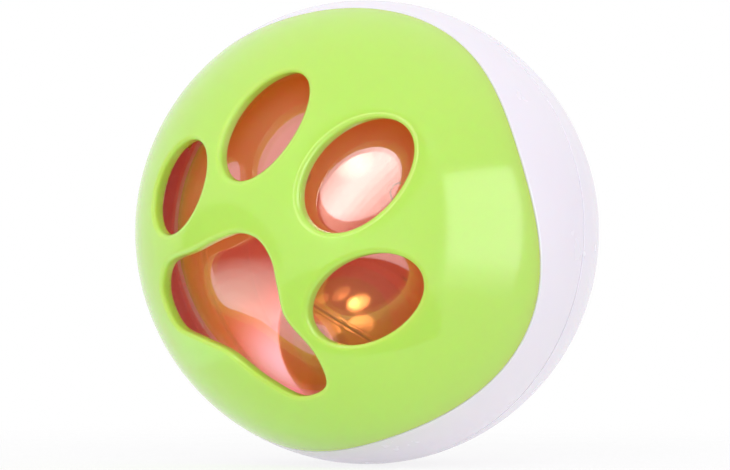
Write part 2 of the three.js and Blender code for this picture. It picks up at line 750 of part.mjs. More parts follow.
const pelletDrop = bellInner - clearance - pelletRadius;
const pellet = toSolid(new THREE.SphereGeometry(pelletRadius, aroundSmall, pelletRows));
place('bell_pellet', pellet.translate([0, bellCentre.y, bellCentre.z - pelletDrop]), steel);

place('circuit_board', circuitBoard(), boardGreen);
ledPlaces.forEach(([x, z], i) => place(`led_${i + 1}`, lamp(x, z), lampRed));
place('motion_switch', lyingRod(canRadius, canLength, canPlace), steel);
place('control_chip', controlChip(), blackPlastic);
place('resistor', lyingRod(resistorRadius, resistorLength, resistorPlace), tan);
const capacitorRear = partFront + capacitorHeight;
place('capacitor', rod(capacitorRadius, ...capacitorPlace, partFront, capacitorRear), blackPlastic);

place('battery_box', batteryBox(), blackPlastic);
for (let i = 0; i < cellCount; i += 1) place(`cell_${i + 1}`, cell(i), steel);
place('positive_contact', positiveContact(), steel);
place('negative_spring', negativeSpring(), steel);
place('battery_door', batteryDoor(), whitePlastic);
place('door_screw', screw(doorScrewX, doorHeadSeat + clearance, 0, true, doorScrewLength), steel);

place('switch_body', switchCase(), blackPlastic);
place('switch_knob', switchKnob(), blackPlastic);
place('switch_lead_1', switchLead(-1), redWire);
place('switch_lead_2', switchLead(1), blackPlastic);

postPlaces.forEach(([x, z], i) => {
  place(`chamber_screw_${i + 1}`, screw(x, wellBottom - clearance, z), steel);
});
boardScrewPlaces.forEach(([x, z], i) => {
  const solid = screw(x, boardRear + clearance, z, true, boardScrewLength, boardScrewHead);
  place(`board_screw_${i + 1}`, solid, steel);
});
earPlaces.forEach(([x, z], i) => {
  place(`box_screw_${i + 1}`, screw(x, earRear - earThickness - clearance, z), steel);
});

export default catBall;
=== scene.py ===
# Electronic cat ball, 75 mm across: paw cover, white shell, red window dome, loose bell and light module.
# The ball's centre is the origin, its axis is Y, the paw faces -Y and Z is up. Sizes are in millimetres.
import math

import bpy
from mathutils import Matrix, Vector


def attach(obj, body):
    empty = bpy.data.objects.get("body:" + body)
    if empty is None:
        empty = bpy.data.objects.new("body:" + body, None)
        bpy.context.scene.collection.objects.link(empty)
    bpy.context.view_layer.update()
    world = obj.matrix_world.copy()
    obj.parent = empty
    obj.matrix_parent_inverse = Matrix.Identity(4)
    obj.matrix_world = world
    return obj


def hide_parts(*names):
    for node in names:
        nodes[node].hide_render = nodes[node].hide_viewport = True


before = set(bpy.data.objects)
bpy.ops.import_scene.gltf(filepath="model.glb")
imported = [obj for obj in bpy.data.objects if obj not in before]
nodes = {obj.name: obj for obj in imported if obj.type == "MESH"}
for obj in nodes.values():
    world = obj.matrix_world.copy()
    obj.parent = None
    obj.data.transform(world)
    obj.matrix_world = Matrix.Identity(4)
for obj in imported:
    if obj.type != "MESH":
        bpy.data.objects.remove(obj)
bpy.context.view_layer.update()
MM = 0.001

# Studio. A white cove and a softbox above the camera light the ball, which lies on white paper. The
# camera looks at the paw from its right, a little below the ball's middle.
BALL = 37.5
CAMERA_AZIMUTH, CAMERA_ELEVATION, CAMERA_DISTANCE = 24.8, -1.9, 450
CAMERA_LENS = 136.8
CAMERA_SHIFT = -0.0028, -0.0040
CAMERA_NEAREST = 10


def towards(azimuth, elevation):
    turn, rise = math.radians(azimuth), math.radians(elevation)
    return Vector((math.sin(turn) * math.cos(rise), -math.cos(turn) * math.cos(rise), math.sin(rise)))


def aim(thing, azimuth, elevation, distance, roll=0):
    """Stands a thing off in a direction from the ball's centre, facing it."""
    way = towards(azimuth, elevation)
    facing = way.to_track_quat("Z", "Y").to_matrix() @ Matrix.Rotation(math.radians(roll), 3, "Z")
    thing.location = way * distance * MM
    thing.rotation_euler = facing.to_euler()


bpy.ops.object.select_all(action="DESELECT")
bpy.ops.object.camera_add()
camera = bpy.context.object
aim(camera, CAMERA_AZIMUTH, CAMERA_ELEVATION, CAMERA_DISTANCE)
camera.data.lens = CAMERA_LENS
camera.data.shift_x, camera.data.shift_y = CAMERA_SHIFT
camera.data.clip_start = CAMERA_NEAREST * MM
bpy.context.scene.camera = camera
bpy.context.scene.view_settings.view_transform = "Standard"


def softbox(name, azimuth, elevation, distance, width, height, power, roll=0):
    bpy.ops.object.light_add(type="AREA")
    lamp = bpy.context.object
    lamp.name = name
    lamp.data.shape = "RECTANGLE"
    lamp.data.size = width * MM
    lamp.data.size_y = height * MM
    lamp.data.energy = power
    lamp.visible_camera = False
    aim(lamp, azimuth, elevation, distance, roll)
    return lamp


def shine(name, shape="RECTANGLE", **placing):
    """A panel that only reflections show."""
    lamp = softbox(name, **placing)
    lamp.data.shape = shape
    lamp.visible_diffuse = False
    return lamp


# Strips, reflectors and glints are panels in a row, so that their light fades towards the edge. The strips
# whiten the window in the upper right toe, the reflectors the pad, and the glints show on the bell alone.
FAR, FAR_STAGGER = 990, 0.1
STRIP_WIDTHS = (140, 260, 380, 500, 640)
STRIP_HEIGHT = 1300
STRIP_POWER = 0.002
NEAR, NEAR_STAGGER = 60, 0.05
REFLECTOR_WIDTHS = (24, 36, 48, 60, 72)
REFLECTOR_SLIMNESS = 0.7
REFLECTOR_POWER = 0.22e-6
REFLECTOR_TINT = (0.3, 1, 0.75)
GLINT_WIDTHS = (100, 200, 300, 400)
GLINT_POWER = 7e-6

key_light = softbox(
    "softbox_above", azimuth=20, elevation=32, distance=1000, width=900, height=900, power=3.2
)
key_light.visible_glossy = False
shine("panel_above", azimuth=19, elevation=10, distance=FAR, width=1100, height=1600, power=0.4)
shine("panel_right", azimuth=84, elevation=-1, distance=1000, width=760, height=980, power=7.4)
for width in STRIP_WIDTHS:
    shine(
        f"strip_{width}", azimuth=21, elevation=27, distance=FAR - FAR_STAGGER * width, roll=-40,
        width=width, height=STRIP_HEIGHT, power=STRIP_POWER * width,
    )
for width in REFLECTOR_WIDTHS:
    reflector = shine(
        f"reflector_{width}", "ELLIPSE", azimuth=-51, elevation=-36, distance=NEAR - NEAR_STAGGER * width,
        roll=20, width=width, height=REFLECTOR_SLIMNESS * width, power=REFLECTOR_POWER * width**2,
    )
    reflector.data.color = REFLECTOR_TINT
for width in GLINT_WIDTHS:
    glint = shine(
        f"glint_{width}", "ELLIPSE", azimuth=14, elevation=41, distance=FAR - FAR_STAGGER * width,
        width=width, height=width, power=GLINT_POWER * width**2,
    )
    glint.visible_glossy = False


def seen_directly(tree):
    """1 for rays that show the background itself: from the camera, or by way of gloss and glass."""
    path = tree.nodes.new("ShaderNodeLightPath")
    glossy = tree.nodes.new("ShaderNodeMath")
    glossy.operation = "MAXIMUM"
    tree.links.new(path.outputs["Is Camera Ray"], glossy.inputs[0])
    tree.links.new(path.outputs["Is Glossy Ray"], glossy.inputs[1])
    clear = tree.nodes.new("ShaderNodeMath")
    clear.operation = "MAXIMUM"
    tree.links.new(glossy.outputs[0], clear.inputs[0])
    tree.links.new(path.outputs["Is Transmission Ray"], clear.inputs[1])
    return clear.outputs[0]


# The cove is white where it is seen. What it lights the ball with is a little lower.
COVE_TINT = (1, 0.99, 1, 1)
COVE_LIGHT = 0.86

world = bpy.data.worlds.new("cove")
bpy.context.scene.world = world
world.use_nodes = True
air = world.node_tree
shown = air.nodes["Background"]
shown.inputs["Color"].default_value = (1, 1, 1, 1)
shown.inputs["Strength"].default_value = 1
lighting = air.nodes.new("ShaderNodeBackground")
lighting.inputs["Color"].default_value = COVE_TINT
lighting.inputs["Strength"].default_value = COVE_LIGHT
either = air.nodes.new("ShaderNodeMixShader")
air.links.new(seen_directly(air), either.inputs["Fac"])
air.links.new(lighting.outputs[0], either.inputs[1])
air.links.new(shown.outputs[0], either.inputs[2])
air.links.new(either.outputs[0], air.nodes["World Output"].inputs["Surface"])

# The paper is bright where it is seen, keeps the ball's shadow, and fades into the cove away from the ball.
PAPER_WIDTH = 8000
PAPER_WHITE = (0.92, 0.92, 0.92, 1)
PAPER_ROUGHNESS = 0.9
PAPER_GLOW, PAPER_GLOW_SEEN = 0.25, 0.55
FADE_START, FADE_END = 50, 200

bpy.ops.mesh.primitive_plane_add(size=PAPER_WIDTH * MM, location=(0, 0, -BALL * MM))
floor = bpy.context.object
floor.name = "floor"
paper = bpy.data.materials.new("white_paper")
paper.use_nodes = True
sheet = paper.node_tree
paper_look = sheet.nodes["Principled BSDF"]
paper_look.inputs["Base Color"].default_value = PAPER_WHITE
paper_look.inputs["Roughness"].default_value = PAPER_ROUGHNESS
glow = sheet.nodes.new("ShaderNodeEmission")
glow.inputs["Strength"].default_value = 1
share = sheet.nodes.new("ShaderNodeMath")
share.operation = "MULTIPLY_ADD"
share.inputs[1].default_value = PAPER_GLOW_SEEN
share.inputs[2].default_value = PAPER_GLOW
blend = sheet.nodes.new("ShaderNodeMixShader")
sheet.links.new(seen_directly(sheet), share.inputs[0])
sheet.links.new(share.outputs[0], blend.inputs["Fac"])
sheet.links.new(paper_look.outputs[0], blend.inputs[1])
sheet.links.new(glow.outputs[0], blend.inputs[2])
spot = sheet.nodes.new("ShaderNodeTexCoord")
away = sheet.nodes.new("ShaderNodeVectorMath")
away.operation = "LENGTH"
sheet.links.new(spot.outputs["Object"], away.inputs[0])
fade = sheet.nodes.new("ShaderNodeMapRange")
fade.interpolation_type = "SMOOTHSTEP"
fade.inputs["From Min"].default_value = FADE_START * MM
fade.inputs["From Max"].default_value = FADE_END * MM
sheet.links.new(away.outputs["Value"], fade.inputs["Value"])
open_air = sheet.nodes.new("ShaderNodeBsdfTransparent")
edge = sheet.nodes.new("ShaderNodeMixShader")
sheet.links.new(fade.outputs["Result"], edge.inputs["Fac"])
sheet.links.new(blend.outputs[0], edge.inputs[1])
sheet.links.new(open_air.outputs[0], edge.inputs[2])
sheet.links.new(edge.outputs[0], sheet.nodes["Material Output"].inputs["Surface"])
floor.data.materials.append(paper)

# Dark cards, which only reflections show, keep parts of the window clear of the cove's white.
FELT_BLACK = (0.01, 0.01, 0.01, 1)

felt = bpy.data.materials.new("dark_felt")
felt.use_nodes = True
felt_look = felt.node_tree.nodes["Principled BSDF"]
felt_look.inputs["Base Color"].default_value = FELT_BLACK
felt_look.inputs["Specular IOR Level"].default_value = 0


def dark_card(name, azimuth, elevation, distance, width, height, hole=0, roll=0):
    """An oval card. Its hole is a share of its size, and one with a hole shows on the window's face alone."""
    bpy.ops.mesh.primitive_circle_add(vertices=96, radius=0.5, fill_type="NGON")
    card = bpy.context.object
    card.name = name
    if hole:
        bpy.ops.object.mode_set(mode="EDIT")
        bpy.ops.mesh.select_all(action="SELECT")
        bpy.ops.mesh.inset(thickness=(1 - hole) / 2)
        bpy.ops.mesh.delete(type="FACE")
        bpy.ops.object.mode_set(mode="OBJECT")
        card.visible_transmission = False
    card.scale = (width * MM, height * MM, 1)
    card.visible_camera = False
    card.visible_diffuse = False
    card.visible_shadow = False
    card.data.materials.append(felt)
    aim(card, azimuth, elevation, distance, roll)


dark_card("card_front", azimuth=20, elevation=-34, distance=55, width=60, height=44)
dark_card("card_left", azimuth=-46, elevation=-14, distance=300, width=340, height=270)
dark_card(
    "card_oval", azimuth=21.5, elevation=28, distance=880, width=900, height=1200, hole=0.72, roll=-40
)

# Rear shell. One half of the ball in white moulded plastic, with posts, a recess for the battery
# door and a pocket for the switch. It takes the front ring's lip behind its rim.
WALL = 2.3
INNER = BALL - WALL
GAP = 0.3
AROUND = 240
FINE = 3
SMOOTH_ANGLE = 32
BEAD_HEIGHT = 0.45
BEAD_WIDTH = 0.8
BEAD_MIDDLE = 2.2
LIP_WALL = 1.6
LIP_OUTER = INNER - GAP
LIP_INNER = LIP_OUTER - LIP_WALL
EQUATOR_EDGE = 0.25
THIN_WALL = 1.2
PILOT = 1.2
SCREW_LENGTH = 8
POSTS = [(-90, 21), (30, 21), (150, 21)]
POST_RADIUS = 2.6
POST_FRONT = 15.5
POST_PILOT = 8.5
EAR_REACH = 10.3
EAR_REAR = 25.3
EAR_THICKNESS = 1.5
DOOR_LEFT, DOOR_RIGHT, DOOR_HALF, DOOR_CORNER = -13.05, 21.05, 8.4, 6
DOOR_SEAT = BALL - WALL / 2
DOOR_BOSS = 3.2
DOOR_BOSS_FRONT = 29.13
DOOR_SCREW_X = 16.65
DOOR_SCREW_SEAT = 30.53
DOOR_SCREW_LENGTH = 5.5
DOOR_POST_FRONT = DOOR_SCREW_SEAT - DOOR_SCREW_LENGTH - GAP
OPENING_X, OPENING_Z, OPENING_CORNER, OPENING_FRONT = 11.05, 6.4, 2, 31.2
DOOR_FRONT = OPENING_FRONT / 2
SWITCH_Z = 20
SWITCH_FLOOR = 28.393
SWITCH_TRAVEL = 1.25
POCKET_X, POCKET_Z, POCKET_FLOOR = 5.5, 3, 1.5
STEM_X, STEM_Z = 1.75, 1
SLOT_X = STEM_X + SWITCH_TRAVEL + GAP
WELD = 0.0001
DRIFT_SCALE, GLOSS_SCALE, GLOSS_SPREAD = 45, 160, 0.15


def on_circle(angle, radius):
    return radius * math.cos(math.radians(angle)), radius * math.sin(math.radians(angle))


def polar(radius, y):
    """Angle from the paw's pole, in degrees, of the point at y on a ball."""
    return math.degrees(math.acos(-y / radius))


def arc(radius, start, end, steps):
    """(out, y) points on a ball, from one angle to another."""
    angles = [math.radians(start + (end - start) * i / steps) for i in range(steps + 1)]
    return [(abs(radius * math.sin(a)), -radius * math.cos(a)) for a in angles]


def on_ball(radius, y):
    return math.sqrt(radius**2 - y**2), y


def eased(profile, closed, steps=4):
    """Rounds each corner that is written as (out, y, rounding), and closes the profile."""
    points = []
    for i, (out, y, *rounding) in enumerate(profile):
        corner = Vector((out, y))
        if not rounding:
            points.append(corner)
            continue
        sides = [Vector(profile[(i + step) % len(profile)][:2]) - corner for step in (-1, 1)]
        first, last = (corner + side.normalized() * rounding[0] for side in sides)
        for k in range(steps + 1):
            t = k / steps
            points.append(first * (1 - t) ** 2 + corner * 2 * t * (1 - t) + last * t**2)
    return points + points[:1] if closed else points


def edit(piece):
    bpy.ops.object.select_all(action="DESELECT")
    piece.select_set(True)
    bpy.context.view_layer.objects.active = piece
    bpy.ops.object.mode_set(mode="EDIT")
    bpy.ops.mesh.select_all(action="SELECT")


def wrapped(name, rings):
    """A grid bent round into a closed piece: rings[i][j] is the point i round it and j along it."""
    around, along = len(rings), len(rings[0])
    bpy.ops.object.select_all(action="DESELECT")
    bpy.ops.mesh.primitive_grid_add(x_subdivisions=around, y_subdivisions=along - 1, size=1)
    piece = bpy.context.object
    piece.name = name
    piece.data.name = name
    for vertex in piece.data.vertices:
        i = round((vertex.co.x + 0.5) * around) % around
        j = round((vertex.co.y + 0.5) * (along - 1))
        vertex.co = rings[i][j] * MM
    edit(piece)
    bpy.ops.mesh.remove_doubles(threshold=WELD * MM)
    bpy.ops.mesh.delete_loose()
    bpy.ops.mesh.select_all(action="SELECT")
    bpy.ops.mesh.fill_holes(sides=0)
    bpy.ops.mesh.normals_make_consistent(inside=False)
    bpy.ops.object.mode_set(mode="OBJECT")
    return piece


def turned(name, profile, closed=False, around=AROUND):
    """Turns a profile, which may change with the angle, about the ball's axis."""
    rings = []
    for i in range(around):
        turn = 360 * i / around
        points = eased(profile(turn) if callable(profile) else profile, closed)
        rings.append([Vector((*on_circle(turn, p.x), p.y)).xzy for p in points])
    return wrapped(name, rings)


def settled(piece, name):
    bpy.ops.object.transform_apply(location=True, rotation=True, scale=True)
    piece.name = name
    piece.data.name = name
    return piece


def rod(x, z, start, end, radius, sides=48):
    bpy.ops.object.select_all(action="DESELECT")
    bpy.ops.mesh.primitive_cylinder_add(
        vertices=sides, radius=radius * MM, depth=(end - start) * MM,
        location=Vector((x, (start + end) / 2, z)) * MM, rotation=(math.pi / 2, 0, 0),
    )
    return settled(bpy.context.object, "rod")


def block(low, high):
    low, high = Vector(low), Vector(high)
    bpy.ops.object.select_all(action="DESELECT")
    bpy.ops.mesh.primitive_cube_add(size=1, location=(low + high) / 2 * MM, scale=(high - low) * MM)
    return settled(bpy.context.object, "block")


def globe(radius, segments=AROUND):
    bpy.ops.object.select_all(action="DESELECT")
    bpy.ops.mesh.primitive_uv_sphere_add(
        segments=segments, ring_count=segments // 2, radius=radius * MM, rotation=(math.pi / 2, 0, 0)
    )
    return settled(bpy.context.object, "globe")


def rounded_prism(left, right, half, corner, start, end, steps=16):
    """Prism along Y over a rectangle with round corners."""
    centres = [(right, half, 0), (left, half, 90), (left, -half, 180), (right, -half, 270)]
    outline = []
    for x, z, first in centres:
        middle_x, middle_z = x - math.copysign(corner, x), z - math.copysign(corner, z)
        for k in range(steps + 1):
            across, up = on_circle(first + 90 * k / steps, corner)
            outline.append((middle_x + across, middle_z + up))
    return wrapped("prism", [[Vector((x, y, z)) for y in (start, end)] for x, z in outline])


def combine(piece, tools, operation):
    for tool in tools:
        change = piece.modifiers.new("combine", "BOOLEAN")
        change.operation = operation
        change.solver = "MANIFOLD"
        change.object = tool
        bpy.context.view_layer.objects.active = piece
        bpy.ops.object.modifier_apply(modifier="combine")
        bpy.data.objects.remove(tool)
    return piece


def polish(piece, *radii, nearness=0.012, facing=0.8):
    """Smooth shading, with the true normals of a ball wherever the surface lies on one."""
    bpy.ops.object.select_all(action="DESELECT")
    piece.select_set(True)
    bpy.context.view_layer.objects.active = piece
    bpy.ops.object.shade_smooth_by_angle(angle=math.radians(SMOOTH_ANGLE))
    mesh = piece.data
    normals = [corner.vector.copy() for corner in mesh.corner_normals]
    for loop in mesh.loops:
        point = mesh.vertices[loop.vertex_index].co
        if any(abs(point.length / MM - radius) < nearness for radius in radii):
            out = point.normalized()
            lean = normals[loop.index].dot(out)
            if abs(lean) > facing:
                normals[loop.index] = out if lean > 0 else -out
    mesh.normals_split_custom_set(normals)


def linear(red, green, blue):
    """A colour as the eye names it, out of 255, turned into the light it gives back."""
    parts = [c / 255 for c in (red, green, blue)]
    return [*(c / 12.92 if c <= 0.04045 else ((c + 0.055) / 1.055) ** 2.4 for c in parts), 1]


def clouded(tree, scale, detail=3):
    place = tree.nodes.new("ShaderNodeTexCoord")
    cloud = tree.nodes.new("ShaderNodeTexNoise")
    cloud.inputs["Scale"].default_value = scale
    cloud.inputs["Detail"].default_value = detail
    tree.links.new(place.outputs["Object"], cloud.inputs["Vector"])
    return cloud.outputs["Fac"]


def moulded(name, colour, deep, rough, grain_depth=0.000004, grain=1400, metal=0):
    """A finish with drifting colour, uneven gloss and a fine grain."""
    material = bpy.data.materials.new(name)
    material.use_nodes = True
    tree = material.node_tree
    surface = tree.nodes["Principled BSDF"]
    surface.inputs["Metallic"].default_value = metal
    tint = tree.nodes.new("ShaderNodeMix")
    tint.data_type = "RGBA"
    tint.inputs["A"].default_value = linear(*colour)
    tint.inputs["B"].default_value = linear(*deep)
    tree.links.new(clouded(tree, DRIFT_SCALE), tint.inputs["Factor"])
    tree.links.new(tint.outputs["Result"], surface.inputs["Base Color"])
    gloss = tree.nodes.new("ShaderNodeMapRange")
    gloss.inputs["To Min"].default_value = rough * (1 - GLOSS_SPREAD)
    gloss.inputs["To Max"].default_value = rough * (1 + GLOSS_SPREAD)
    tree.links.new(clouded(tree, GLOSS_SCALE), gloss.inputs["Value"])
    tree.links.new(gloss.outputs["Result"], surface.inputs["Roughness"])
    bump = tree.nodes.new("ShaderNodeBump")
    bump.inputs["Distance"].default_value = grain_depth
    tree.links.new(clouded(tree, grain), bump.inputs["Height"])
    tree.links.new(bump.outputs["Normal"], surface.inputs["Normal"])
    return material


def finish(piece, material, body, slot, *stands_for):
    piece.data.materials.clear()
    piece.data.materials.append(material)
    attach(piece, body)
    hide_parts(*stands_for)


white_plastic = moulded(
    "white_plastic", (242, 237, 246), (236, 229, 242), rough=0.26, grain_depth=0.000001, grain=500
)
shell_look = white_plastic.node_tree.nodes["Principled BSDF"]
shell_look.inputs["Subsurface Weight"].default_value = 0.12
shell_look.inputs["Subsurface Scale"].default_value = 0.002

groove_front = BEAD_MIDDLE - BEAD_WIDTH - GAP
groove_rear = BEAD_MIDDLE + BEAD_WIDTH + GAP
groove = LIP_OUTER + BEAD_HEIGHT + GAP
half_gap = GAP / 2
rear_shell = turned("rear_shell_moulding", [
    (*on_ball(BALL, half_gap), EQUATOR_EDGE),
    *arc(BALL, polar(BALL, half_gap) + FINE, 180, steps=70),
    *arc(INNER, 180, polar(INNER, groove_rear), steps=60),
    (groove, groove_rear - BEAD_WIDTH / 2), (groove, groove_front + BEAD_WIDTH / 2),
    on_ball(INNER, groove_front), on_ball(INNER, half_gap),
], closed=True)
post_places = [on_circle(*place) for place in POSTS]
ear_places = [(0, EAR_REACH), (0, -EAR_REACH)]
posts = [rod(x, z, POST_FRONT, BALL, POST_RADIUS) for x, z in post_places]
posts += [rod(x, z, EAR_REAR + GAP, BALL, POST_RADIUS) for x, z in ear_places]
posts.append(rod(DOOR_SCREW_X, 0, DOOR_POST_FRONT, BALL, DOOR_BOSS + GAP + THIN_WALL))
pocket_walls = block(
    (-POCKET_X - THIN_WALL, SWITCH_FLOOR - POCKET_FLOOR, SWITCH_Z - POCKET_Z - THIN_WALL),
    (POCKET_X + THIN_WALL, BALL, SWITCH_Z + POCKET_Z + THIN_WALL),
)
for post in posts:
    combine(post, [globe(DOOR_SEAT, segments=96)], "INTERSECT")
combine(pocket_walls, [globe(BALL - GAP, segments=96)], "INTERSECT")
combine(rear_shell, [*posts, pocket_walls], "UNION")
door_recess = rounded_prism(
    DOOR_LEFT - GAP, DOOR_RIGHT + GAP, DOOR_HALF + GAP, DOOR_CORNER + GAP, DOOR_FRONT, BALL + GAP
)
combine(door_recess, [globe(DOOR_SEAT - half_gap)], "DIFFERENCE")
combine(rear_shell, [
    *[rod(x, z, 0, POST_FRONT + POST_PILOT, PILOT) for x, z in post_places],
    *[rod(x, z, 0, EAR_REAR + GAP + SCREW_LENGTH - EAR_THICKNESS, PILOT) for x, z in ear_places],
    rod(DOOR_SCREW_X, 0, 0, BALL, PILOT),
    rod(DOOR_SCREW_X, 0, DOOR_BOSS_FRONT - GAP, BALL, DOOR_BOSS + GAP),
    door_recess,
    rounded_prism(-OPENING_X, OPENING_X, OPENING_Z, OPENING_CORNER, OPENING_FRONT, BALL + GAP),
    block((-POCKET_X, SWITCH_FLOOR, SWITCH_Z - POCKET_Z), (POCKET_X, BALL, SWITCH_Z + POCKET_Z)),
    block((-SLOT_X, 0, SWITCH_Z - STEM_Z - GAP), (SLOT_X, BALL, SWITCH_Z + STEM_Z + GAP)),
], "DIFFERENCE")
polish(rear_shell, BALL, INNER)
finish(rear_shell, white_plastic, "shell", "white_plastic", "rear_shell")

# Slide switch. A black case under the pocket floor, a ribbed black knob whose stem passes the
# slot, and two short insulated wires down to the board.
KNOB_X, KNOB_Y, KNOB_Z = 3, 1.3, 2
KNOB_EDGE = 0.25
RIB_PITCH, RIB_INSET, RIB_EDGE = 1.5, 0.05, 0.15

black_plastic = moulded(
    "black_plastic", (38, 37, 39), (28, 27, 29), rough=0.42, grain_depth=0.00002, grain=2600
)


def soften(piece, width, segments=3):
    """Rounds the sharp edges of a plain moulding."""
    edge = piece.modifiers.new("edge", "BEVEL")
    edge.width = width * MM
    edge.segments = segments
    edge.limit_method = "ANGLE"
    bpy.context.view_layer.objects.active = piece
    bpy.ops.object.modifier_apply(modifier="edge")
    return piece


knob_base = SWITCH_FLOOR + GAP
knob = soften(block(
    (-KNOB_X, knob_base, SWITCH_Z - KNOB_Z), (KNOB_X, knob_base + KNOB_Y, SWITCH_Z + KNOB_Z)
), KNOB_EDGE)
knob.name = "switch_knob_moulding"
combine(knob, [soften(block(
    (x - RIB_PITCH / 4, knob_base + KNOB_Y / 2, SWITCH_Z - KNOB_Z + RIB_INSET),
    (x + RIB_PITCH / 4, knob_base + KNOB_Y + GAP, SWITCH_Z + KNOB_Z - RIB_INSET),
), RIB_EDGE) for x in (-RIB_PITCH, 0, RIB_PITCH)], "UNION")
combine(knob, [block(
    (-STEM_X, SWITCH_FLOOR - POCKET_FLOOR, SWITCH_Z - STEM_Z),
    (STEM_X, knob_base + KNOB_Y / 2, SWITCH_Z + STEM_Z),
)], "UNION")
polish(knob)
finish(knob, black_plastic, "knob", "black_plastic", "switch_knob")


def dress(material, *names):
    for name in names:
        nodes[name].data.materials.clear()
        nodes[name].data.materials.append(material)


red_wire = moulded("red_wire", (190, 34, 30), (166, 26, 24), rough=0.4)
dress(black_plastic, "switch_body", "switch_lead_2")
dress(red_wire, "switch_lead_1")

# Battery box. A black trough with two screw ears, a spring and a flat contact of plated steel,
# and three button cells of the LR44 size laid end to end.
CELL_RADIUS, CELL_HEIGHT, CELL_STEP = 5.8, 5.4, 5.6
CELLS, CELL_FIRST = 3, -9.35
CELL_AXIS_Y = 25.7
CELL_SHOULDER, CELL_EDGE = 0.2, 0.35
CAP_RADIUS, CAP_HEIGHT = CELL_RADIUS * 0.85, 0.5
CAP_EDGE, CAP_ROOT = 0.12, 0.1

steel = moulded(
    "plated_steel", (196, 196, 194), (172, 172, 170), rough=0.24, grain_depth=0.000006, grain=2000, metal=1
)
dress(black_plastic, "battery_box")
dress(steel, "positive_contact", "negative_spring")
for i in range(CELLS):
    cell = turned(f"cell_{i + 1}_can", [
        (0, 0), (CAP_RADIUS, 0, CAP_EDGE), (CAP_RADIUS, CAP_HEIGHT, CAP_ROOT),
        (CELL_RADIUS, CAP_HEIGHT, CELL_SHOULDER), (CELL_RADIUS, CELL_HEIGHT, CELL_EDGE), (0, CELL_HEIGHT),
    ], around=96)
    right = CELL_FIRST + i * CELL_STEP + CELL_HEIGHT
    lying = Matrix.Rotation(math.pi / 2, 4, "Z")
    cell.data.transform(Matrix.Translation(Vector((right, CELL_AXIS_Y, 0)) * MM) @ lying)
    polish(cell)
    finish(cell, steel, "shell", "steel", f"cell_{i + 1}")

# Light module. A round green board on two stand-offs, with three red lamps, a vibration switch in a
# steel can, a control chip, a resistor and a capacitor soldered to it.
BOARD_FRONT, BOARD_REAR = 16.5, 18.1
LAMP_RADIUS, LAMP_TIP, LAMP_REAR = 1.5, 11.7, BOARD_FRONT - GAP
LAMP_FLANGE, LAMP_EDGE = 0.4, 0.1
LAMP_GLOW_COLOUR, LAMP_GLOW = (255, 70, 40), 0.25
LAMPS = [(90, 7), (210, 7), (330, 7)]

board_green = moulded("board_green", (44, 104, 56), (34, 88, 48), rough=0.4)
tan_body = moulded("tan_body", (214, 184, 140), (202, 170, 126), rough=0.45)
dress(board_green, "circuit_board")
dress(steel, "motion_switch")
dress(black_plastic, "control_chip", "capacitor")
dress(tan_body, "resistor")
lamp_red = moulded("lamp_red", (226, 66, 48), (214, 52, 40), rough=0.12)
lens = lamp_red.node_tree.nodes["Principled BSDF"]
lens.inputs["Emission Color"].default_value = linear(*LAMP_GLOW_COLOUR)
lens.inputs["Emission Strength"].default_value = LAMP_GLOW
for i, place in enumerate(LAMPS):
    x, z = on_circle(*place)
    flange = LAMP_REAR - 2 * LAMP_FLANGE
    tip = [(out, y + LAMP_TIP + LAMP_RADIUS) for out, y in arc(LAMP_RADIUS, 0, 90, steps=10)]
    lamp = turned(f"led_{i + 1}_lens", [
        *tip, (LAMP_RADIUS, flange), (LAMP_RADIUS + LAMP_FLANGE, flange, LAMP_EDGE),
        (LAMP_RADIUS + LAMP_FLANGE, LAMP_REAR, LAMP_EDGE), (0, LAMP_REAR),
    ], around=40)
    lamp.data.transform(Matrix.Translation((x * MM, 0, z * MM)))
    polish(lamp)
    finish(lamp, lamp_red, "shell", "lamp", f"led_{i + 1}")

# Chamber back. A white moulded bowl behind the bell, with lamp holes, three screw wells and the
# board's stand-offs. Its red colour and glow are painted lamp light, and one paler glowing spot on it
# is a painted reflection. Its flange meets the dome's at the ball's equator.
DOME = 31.8
CHAMBER = 30.3
FLANGE = 33.0
FLANGE_EDGE = 1.65
BACK_FRONT, BACK_REAR, BACK_STEPS = 11.5, 13.0, 12
WELL_BOTTOM, WELL_REAR, WELL_RADIUS, WELL_WALL = 13.7, 15.2, 2.3, 0.8
STANDOFFS = [(14, 0), (-14, 0)]
STANDOFF_RADIUS = 2.2
# A pale cool glowing spot on the bowl is a painted reflection, seen through the window as a grey-white
# streak.
PAINTED_REFLECTION, PAINTED_REFLECTION_CORE, PAINTED_REFLECTION_REACH = (-17, 8, -20), 2, 16
PAINTED_REFLECTION_COLOUR, PAINTED_REFLECTION_STRENGTH = (190, 208, 255), 1.8
# The red glow is painted lamp light, given off by the bowl and the window though they are no lamps.
GLOW_COLOUR, GLOW_STRENGTH = (255, 84, 44), 0.17

# The bowl's red base colour is painted lamp light on a white moulding.
inner_white = moulded("inner_white", (226, 84, 66), (216, 72, 56), rough=0.4)
bowl = inner_white.node_tree
bowl_look = bowl.nodes["Principled BSDF"]
bowl_place = bowl.nodes.new("ShaderNodeTexCoord")
from_painted_reflection = bowl.nodes.new("ShaderNodeVectorMath")
from_painted_reflection.operation = "DISTANCE"
from_painted_reflection.inputs[1].default_value = Vector(PAINTED_REFLECTION) * MM
bowl.links.new(bowl_place.outputs["Object"], from_painted_reflection.inputs[0])
